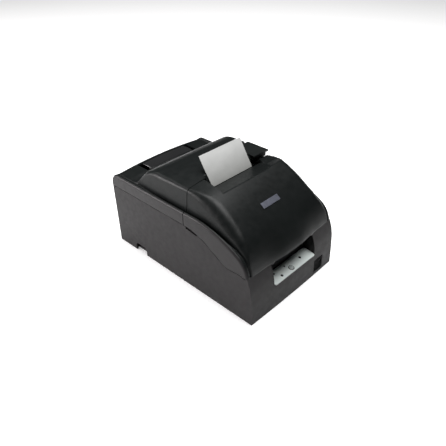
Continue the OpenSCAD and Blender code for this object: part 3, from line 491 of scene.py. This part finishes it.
def columns(extra):
    """Column positions of half a section: hump top, shoulder, wall, valley, rim, outer round, side wall. Returns a list of (kind, value)."""
    xs = sorted(set(np.round(np.concatenate([np.arange(0, 60.01, 1.0), 60 + 13 * np.sin(np.linspace(0, math.pi / 2, 18)), extra]), 3)))
    c = [("top", x) for x in xs]
    c += [("wall", t) for t in (0.15, 0.3, 0.45, 0.6, 0.75, 0.88)]
    c += [("base", k) for k in range(9)]
    c += [("round", t) for t in np.linspace(0, math.pi / 2, 9)[1:]]
    c += [("side", t) for t in (0.08, 0.2, 0.35, 0.5, 0.65, 0.8, 0.92, 1.0)]
    return c


def half_section(cols, rc, rs, rv, rr, rb, rf, f, w_low):
    """(x, r) for each column. rc centre, rs shoulder, rv valley, rr rim, rb lower edge, rf shoulder radius, f front blend."""
    out = []

    def top(x):
        k = (1 - w_low) * (x / 70.0) ** 2 + w_low * float(ss((x - 8) / 66.0))
        plan = 1.2 * float(ss((x - 14) / 30.0))
        valley = 0.25 * math.exp(-(((x - 47) / 8.0) ** 2))
        c0 = rc - f * plan
        return c0 + (rs - c0) * k - f * valley

    tmax = top(73.0)
    rad = max(0.6, min(rf, tmax - rv - 0.8))
    for kind, v in cols:
        if kind == "top":
            z = top(v)
            u = (v - (73.0 - rad)) / rad
            if u > 0:
                z = min(z, tmax + (z - tmax) * 1.0) - rad * (1 - math.sqrt(max(0.0, 1 - u * u)))
            out.append((v, max(z, rv)))
        elif kind == "wall":
            z0 = tmax - rad
            out.append((73.0 + 0.5 * v, z0 + (rv + 0.9 - z0) * v))
        elif kind == "base":
            b = [(73.55, 0, 0.62), (73.75, 0, 0.28), (74.05, 0, 0.06), (74.4, 0, 0.0), (74.8, 0.10, 0), (75.3, 0.34, 0), (75.8, 0.66, 0), (76.3, 0.90, 0), (76.8, 0.99, 0)][v]
            out.append((b[0], rv + b[2] + (rr - rv) * b[1]))
        elif kind == "round":
            out.append((77.1 + 2.9 * math.sin(v), rr - 3.3 * (1 - math.cos(v))))
        else:
            z0 = rr - 3.3
            out.append((80.0, z0 + (min(rb, z0 - 0.05) - z0) * v))
    return out


def mirror(h):
    return [(-x, r) for x, r in reversed(h[1:])] + h


def lean(P):
    """The hump's walls lean inwards towards the top."""
    x, z = P[..., 0], P[..., 2]
    k = 1 - 0.028 * clamp((z - 101) / 33.0) * (np.abs(x) < 73.6)
    P[..., 0] = x * k
    return P


# ------------------------------------------------------------------ front cover
def front_cover():
    cols = columns([40.5, 50.0])
    half_i = {round(v, 3): i for i, (k, v) in enumerate(cols) if k == "top"}
    ys = sorted(set(np.round(np.concatenate([np.arange(-60, -14.9, 0.75), [-15.5, -22.3, -22.8, -17.4]]), 3)), reverse=True)
    st = [(y, math.pi / 2) for y in ys]
    # where the last station of every column ends: z 65 in the middle, 65.9 at the sides
    angs = np.linspace(90, 22.8, 86)[1:]
    rows = []
    for y, a in st:
        rows.append((np.array([y, PIVOT[1]]), a))
    for a in angs:
        rows.append((PIVOT, math.radians(a)))
    G = []
    for p, a in rows:
        deg = math.degrees(a)
        f = float(ss((66 - deg) / 42))
        rr, rc, rs = ray(p, a, RIM_C), ray(p, a, TOP_C), ray(p, a, SIDE_C)
        dv = 0.55 + 3.85 * float(ss((deg - 34) / 56))
        y_here = p[0] - math.cos(a) * rs
        rf = float(np.interp(y_here, R_F[:, 0], R_F[:, 1]))
        rb = ray(p, a, SEAM_C)
        rv = min(rr - dv, rs - 2.2, rc - 2.2)
        h = half_section(cols, rc, rs, rv, rr, rb, rf, f, float(ss((70 - deg) / 30)))
        row = [(x, p[0] - math.cos(a) * r, PIVOT[1] + math.sin(a) * r) for x, r in mirror(h)]
        G.append(row)
    G = np.array(G)
    n, m = G.shape[:2]
    mid = (m - 1) // 2
    # clearing in front of the paper, ridge and scoop in front of the lever
    nv = len(st)
    X, Y, Z = G[:nv, :, 0], G[:nv, :, 1], G[:nv, :, 2]
    clear = 124 + np.maximum(0, -20 - Y) * 7.2 / 26
    xl = -41.0 - np.maximum(0, -20 - Y) * 5.4 / 26
    clear = clear + 2.6 * np.maximum(0, xl - X)
    xr = 55 + (Y + 10) * 14 / 36
    ridge = np.maximum(128.2, 124.5 + np.maximum(0, -20 - Y) * 7.2 / 26)
    d = np.interp(-Y, [14, 15, 30, 45], [3.4, 3.2, 0.9, 0.2])
    right = ridge - clamp((X - xr) / (70 - xr)) * d
    t = ss((X - (xr - 1.3)) / 1.3)
    floor = clear * (1 - t) + right * t
    # under the lever's lip
    lip = ss((Y + 18.2) / 0.9)
    floor = np.where(X > xr, floor * (1 - lip) + 125.0 * lip, floor)
    hump = np.abs(X) < 73.4
    Z2 = np.where(hump & (Z > 110), smin(Z, floor, 1.2), Z)
    G[:nv, :, 2] = Z2
    G = lean(G)
    # lower edge: cut the front of every column at its own height
    keep = np.ones((n - 1, m - 1), bool)
    zc = np.where(np.abs(G[-1, :, 0]) < 39.5, 65.0, 65.9)
    zc = 65.0 + 0.9 * ss((np.abs(G[-1, :, 0]) - 39.0) / 1.5)
    for j in range(m):
        if abs(G[-1, j, 0]) > 79.99:
            zc_j = None
        else:
            zc_j = zc[j]
        col = G[:, j]
        low = np.where(col[:, 2] < zc_j)[0] if zc_j is not None else np.where((col[:, 1] < -104) & (col[:, 2] < 65.9))[0]
        low = [q for q in low if q > nv]
        if zc_j is None:
            for q in low:
                G[q, j, 2] = 65.9
            continue
        if low:
            q = low[0]
            a0, a1 = col[q - 1].copy(), col[q].copy()
            k = (a0[2] - zc_j) / max(a0[2] - a1[2], 1e-6)
            e = a0 + (a1 - a0) * k
            G[q:, j] = e
    # slot
    xc = (G[0, :-1, 0] + G[0, 1:, 0]) / 2
    yc = (G[:-1, mid, 1] + G[1:, mid, 1]) / 2
    for i in range(nv - 1):
        if yc[i] > -22.3:
            keep[i] &= ~((xc > -40.5 * 0.985) & (xc < 50 * 0.985))
    return G, keep


G, keep = front_cover()
hood = shell("front_cover_shell", G, keep, 2.1, bevel=0.3)
for v in hood.data.vertices:
    v.co.x = max(-79.97 * MM, min(79.97 * MM, v.co.x))
stand_in(hood, "front_cover", "cover")


# ------------------------------------------------------------------ roll cover
HUMP_Y = [-20, 20, 30, 43, 51, 57, 61, 65, 77.5, 81, 86, 92]
HUMP_Z = [HUMP, HUMP, HUMP - 0.4, HUMP - 2, HUMP - 4.4, HUMP - 7.3, HUMP - 10, 124.2, 110.2, 107.7, DECK + 0.6, DECK]


def roll_cover():
    cols = columns([40.9, 41.1, 42.0, 44.0])
    ys = np.concatenate([np.arange(-14, 25, 0.75), [23.9, 24.1], np.arange(25, 92, 1.2), [92.5, 113.0], np.arange(93.5, 113, 1.5), [114.0]])
    ys = sorted(set(np.round(ys, 3)))
    st = [(y, 0.0) for y in ys] + [(114 + 10 * math.sin(t), 10 * (1 - math.cos(t))) for t in np.linspace(0, math.pi / 2, 12)[1:]]
    G = []
    for y, ed in st:
        hz = float(np.interp(y, HUMP_Y, HUMP_Z))
        arch = 4.2 * float(ss((y - 83) / 11))
        z = hz - ed + arch
        rr = RIM - ed
        dv = 4.4 - 3.9 * float(ss((y - 0) / 110))
        lift = (RIM - DECK - 0.3) * float(ss((y - 84) / 12))
        crown = arch + 4.5 + (0.4 - 4.5) * float(ss((y - 24) / 42)) - lift
        rv = min(rr - dv, hz - ed - 0.7 + lift)
        rf = float(np.interp(y, [-14, 6, 25, 50, 62, 80], [3.6, 4.4, 5.4, 6.0, 5.0, 2.0]))
        h = half_section(cols, z, z - crown, rv, rr, SEAM_Z + 0.5, rf, 0.0, 0.0)
        G.append([(x, y, r) for x, r in mirror(h)])
    G = np.array(G)
    # soften the brow and the foot of the back slope
    Zs = G[:, :, 2].copy()
    for _ in range(4):
        Z1 = Zs.copy()
        Z1[1:-1] = (Zs[2:] + 2 * Zs[1:-1] + Zs[:-2]) / 4
        w = ((G[:, :, 1] > 26) & (G[:, :, 1] < 91) & (np.abs(G[:, :, 0]) < 76))
        Zs = np.where(w, Z1, Zs)
    G[:, :, 2] = Zs
    X, Y, Z = G[:, :, 0], G[:, :, 1], G[:, :, 2]
    # face behind the slip, bay of the lever
    back = 124 + (Y + 18.5) / math.tan(math.radians(35)) + 9 * np.maximum(0, np.abs(X - 0.4) - 41.2)
    Z2 = np.where((Z > 112) & (Y < 10), smin(Z, back, 0.5), Z)
    bay = (X > 41.0) & (Y < 24.0) & (Z > 121) & (np.abs(X) < 73.6)
    Z2 = np.where(bay, 121.0, Z2)
    G[:, :, 2] = Z2
    G = lean(G)
    # straight rear wall down to the case
    last = G[-1].copy()
    rear = []
    for t in (0.3, 0.65, 1.0):
        r = last.copy()
        r[:, 1] = 124.0
        r[:, 2] = last[:, 2] + (np.minimum(91.4, last[:, 2]) - last[:, 2]) * t
        rear.append(r)
    G = np.concatenate([G, np.array(rear)])
    n, m = G.shape[:2]
    keep = np.ones((n - 1, m - 1), bool)
    mid = (m - 1) // 2
    xc = (G[-6, :-1, 0] + G[-6, 1:, 0]) / 2
    yc = (G[:-1, mid, 1] + G[1:, mid, 1]) / 2
    for i in range(n - 1):
        if 92.5 < yc[i] < 113.0:
            keep[i] &= ~(np.abs(xc) < 43.9)
    return G, keep


G2, keep2 = roll_cover()
lid = shell("roll_cover_shell", G2, keep2, 2.1, bevel=0.3)
stand_in(lid, "roll_cover", "cover")


# ------------------------------------------------------------------ slip, window
def paper_slip():
    c = smooth([[-22.0, 119.6], [-19.4, 124], [-14.4, 131], [-8.6, 139], [-2.6, 147.6], [3.2, 156.1]], 8)
    n, m = len(c), 37
    t = 0.16
    V, F = [], []
    for s in (1, -1):
        for i in range(n):
            d = c[min(i + 1, n - 1)] - c[max(i - 1, 0)]
            d /= np.linalg.norm(d)
            nr = np.array([-d[1], d[0]])
            k = i / (n - 1)
            for j in range(m):
                x = -35 + 70 * j / (m - 1)
                curl = 0.9 * k * k * ((x / 35) ** 2)
                x += 2.0 * k * max(0.0, x / 35)
                q = c[i] - nr * (s * t * 0.5 + curl * -1.0)
                V.append((x, q[0], q[1]))
    for s in (0, 1):
        o = s * n * m
        for i in range(n - 1):
            for j in range(m - 1):
                a, b, cc, d = o + i * m + j, o + i * m + j + 1, o + (i + 1) * m + j + 1, o + (i + 1) * m + j
                F.append((a, b, cc, d) if s else (a, d, cc, b))
    o = n * m
    for i in range(n - 1):
        F.append((i * m, (i + 1) * m, o + (i + 1) * m, o + i * m))
        F.append((i * m + m - 1, o + i * m + m - 1, o + (i + 1) * m + m - 1, (i + 1) * m + m - 1))
    for j in range(m - 1):
        F.append((j, o + j, o + j + 1, j + 1))
        e = (n - 1) * m
        F.append((e + j, e + j + 1, o + e + j + 1, o + e + j))
    return mesh_object("paper_slip_sheet", V, F, 60, merge=0.001)


slip = paper_slip()
for v in slip.data.vertices:
    v.co.z = min(v.co.z, 156.38 * MM)
stand_in(slip, "paper_slip", "paper")
slip.data.materials.clear()
slip.data.materials.append(slip_mat_painted_shade("paper_slip_sheet"))


def window():
    nx, ny = 49, 15
    xs = np.linspace(-37.2, 37.2, nx)
    ysw = np.linspace(92.9, 112.6, ny)
    G = np.zeros((ny, nx, 3))
    for i, y in enumerate(ysw):
        for j, x in enumerate(xs):
            ey = abs((y - 102.75) / 9.85)
            ex = abs(x / 37.2)
            G[i, j] = (x, y, DECK + 4.2 - (4.9 - RIM + DECK) * (x / 70) ** 2 + 1.1 * (1 - ey ** 2.2) - 0.4 * ex ** 10)
    return shell("roll_window_pane", G, np.ones((ny - 1, nx - 1), bool), 1.8, bevel=0.6, angle=50)


pane = window()
stand_in(pane, "roll_window", "window")

def copy_node(node, name):
    me = NODES[node].data.copy()
    me.name = name
    o = bpy.data.objects.new(name, me)
    SC.collection.objects.link(o)
    bm = bmesh.new()
    bm.from_mesh(me)
    bmesh.ops.remove_doubles(bm, verts=bm.verts, dist=0.004 * MM)
    bm.to_mesh(me)
    bm.free()
    return o


def case_body():
    o = copy_node("lower_case", "lower_case_body")
    bm = bmesh.new()
    bm.from_mesh(o.data)
    bmesh.ops.dissolve_limit(bm, angle_limit=math.radians(0.4), verts=bm.verts, edges=bm.edges)
    for x in range(-72, 73, 8):
        geom = [g for g in list(bm.verts) + list(bm.edges) + list(bm.faces) if not isinstance(g, bmesh.types.BMFace) or True]
        bmesh.ops.bisect_plane(bm, geom=geom, dist=0.001 * MM, plane_co=(x * MM, 0, 0), plane_no=(1, 0, 0))
    for v in bm.verts:
        x, y, z = v.co.x / MM, v.co.y / MM, v.co.z / MM
        if y < -112 and z < 65.5:
            w = float(ss((-112 - y) / 4.0)) * (1 - 0.75 * float(ss((z - 38) / 26.0)))
            v.co.y += 1.1 * (x / 80.0) ** 2 * w * MM
        if 0.7 < z < 0.95:
            v.co.z = 0.15 * MM
    bmesh.ops.dissolve_limit(bm, angle_limit=math.radians(0.05), verts=bm.verts, edges=bm.edges)
    bmesh.ops.triangulate(bm, faces=[f for f in bm.faces if len(f.verts) > 4])
    bm.to_mesh(o.data)
    bm.free()
    shade(o, 28)
    add_bevel(o, 0.35, 2, 34)
    return o


def panel_marks():
    """Lenses of the lamps, a little domed, and the dark collar round the button."""
    ca, sa = math.cos(math.radians(9.8)), math.sin(math.radians(9.8))

    def at(x, y, z):
        return (x, -124 + y * ca - z * sa, 34.3 + y * sa + z * ca)

    V, F = [], []
    for cx, cy, r in ((19.4, 10, 1.9), (-7.8, 13, 1.3), (-21.5, 5.6, 1.9), (-27, 13, 1.4)):
        n = 24
        rings = [(r, 0.7), (r, 1.42), (r * 0.86, 1.56), (r * 0.45, 1.66)]
        o = len(V)
        for rr, z in rings:
            V += [at(cx + rr * math.cos(2 * math.pi * k / n), cy + rr * math.sin(2 * math.pi * k / n), z) for k in range(n)]
        V += [at(cx, cy, 1.70), at(cx, cy, 0.7)]
        for i in range(len(rings) - 1):
            for k in range(n):
                k2 = (k + 1) % n
                F.append((o + i * n + k, o + i * n + k2, o + (i + 1) * n + k2, o + (i + 1) * n + k))
        t = o + (len(rings) - 1) * n
        for k in range(n):
            k2 = (k + 1) % n
            F.append((t + k, t + k2, o + len(rings) * n))
            F.append((o + k2, o + k, o + len(rings) * n + 1))
    n, o = 48, len(V)
    prof = [(2.92, 1.0), (2.92, 1.40), (3.05, 1.52), (3.7, 1.52), (3.85, 1.40), (3.85, 1.0)]
    for rr, z in prof:
        V += [at(-2.6 + rr * math.cos(2 * math.pi * k / n), 6.2 + rr * math.sin(2 * math.pi * k / n), z) for k in range(n)]
    for i in range(len(prof)):
        i2 = (i + 1) % len(prof)
        for k in range(n):
            k2 = (k + 1) % n
            F.append((o + i * n + k, o + i2 * n + k, o + i2 * n + k2, o + i * n + k2))
    return mesh_object("panel_lens_caps", V, F, 40, merge=0.001)


# the switch's housing takes the rocker's near-black, glossless material, darker than the other black plastic: black
# plastic plus painted shade, standing in for the deep recess round the rocker
housing = NODES["power_switch_body"]
housing.data.materials.clear()
housing.data.materials.append(MAT["switch"])
# glossless near-black lip along the front of the slot, in front of the slip's foot: it hides the foot, and its black is
# painted shade standing in for the shadowed gap there
lip = prism("slot_guide_lip", [(-22.35, 120.6), (-22.35, 124.3), (-22.0, 124.6), (-20.9, 124.6), (-20.4, 124.1), (-20.4, 120.6)], -39.6, 48.6)
add_bevel(lip, 0.2, 2, 30)
lip.data.materials.append(MAT["guide"])
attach(lip, "front_cover")
marks = panel_marks()
stand_in(marks, "panel_leds", "led")
case_o = case_body()
stand_in(case_o, "lower_case", "case")
for n in ("control_panel", "power_switch_body", "power_rocker", "cover_lever", "blank_nameplate", "tear_bar", "roll_bin", "ribbon_cassette", "feed_button", "rubber_feet", "bottom_plate", "power_inlet", "drawer_jack"):
    soften(n, 0.3)


# ------------------------------------------------------------------ floor and light
def stage():
    me = bpy.data.meshes.new("floor")
    s = 30.0
    me.from_pydata([(-s, -s, -0.0002), (s, -s, -0.0002), (s, s, -0.0002), (-s, s, -0.0002)], [], [(0, 1, 2, 3)])
    o = bpy.data.objects.new("floor", me)
    SC.collection.objects.link(o)
    m, nt, bs = new_mat("floor_pale")
    bs.inputs["Base Color"].default_value = (0.92, 0.92, 0.92, 1)
    bs.inputs["Emission Color"].default_value = (1, 1, 1, 1)
    bs.inputs["Emission Strength"].default_value = 0.34
    bs.inputs["Roughness"].default_value = 0.9
    bs.inputs["Specular IOR Level"].default_value = 0.1
    me.materials.append(m)
    o.visible_diffuse = False
    w = bpy.data.worlds.new("studio")
    SC.world = w
    w.use_nodes = True
    w.node_tree.nodes["Background"].inputs[0].default_value = (1, 1, 1, 1)
    w.node_tree.nodes["Background"].inputs[1].default_value = 0.012

    def area(name, loc, target, size, power, color=(1, 1, 1)):
        l = bpy.data.lights.new(name, "AREA")
        l.shape, l.size, l.size_y = "RECTANGLE", size[0], size[1]
        l.energy, l.color = power, color
        ob = bpy.data.objects.new(name, l)
        SC.collection.objects.link(ob)
        ob.location = loc
        ob.rotation_euler = (Vector(target) - Vector(loc)).to_track_quat("-Z", "Y").to_euler()

    area("key_rear", (-0.35, 1.5, 1.75), (0, 0, 0.05), (1.2, 0.8), 8)
    area("top", (0.29, -0.10, 1.65), (0.03, 0, 0), (1.3, 1.05), 42)
    area("fill_left", (-1.35, 1.15, 0.6), (0, 0.05, 0.05), (0.9, 0.8), 34, (1, 0.965, 0.972))
    SC.view_settings.view_transform = "Standard"
    SC.view_settings.look = "None"
    SC.view_settings.exposure = 0.0


stage()

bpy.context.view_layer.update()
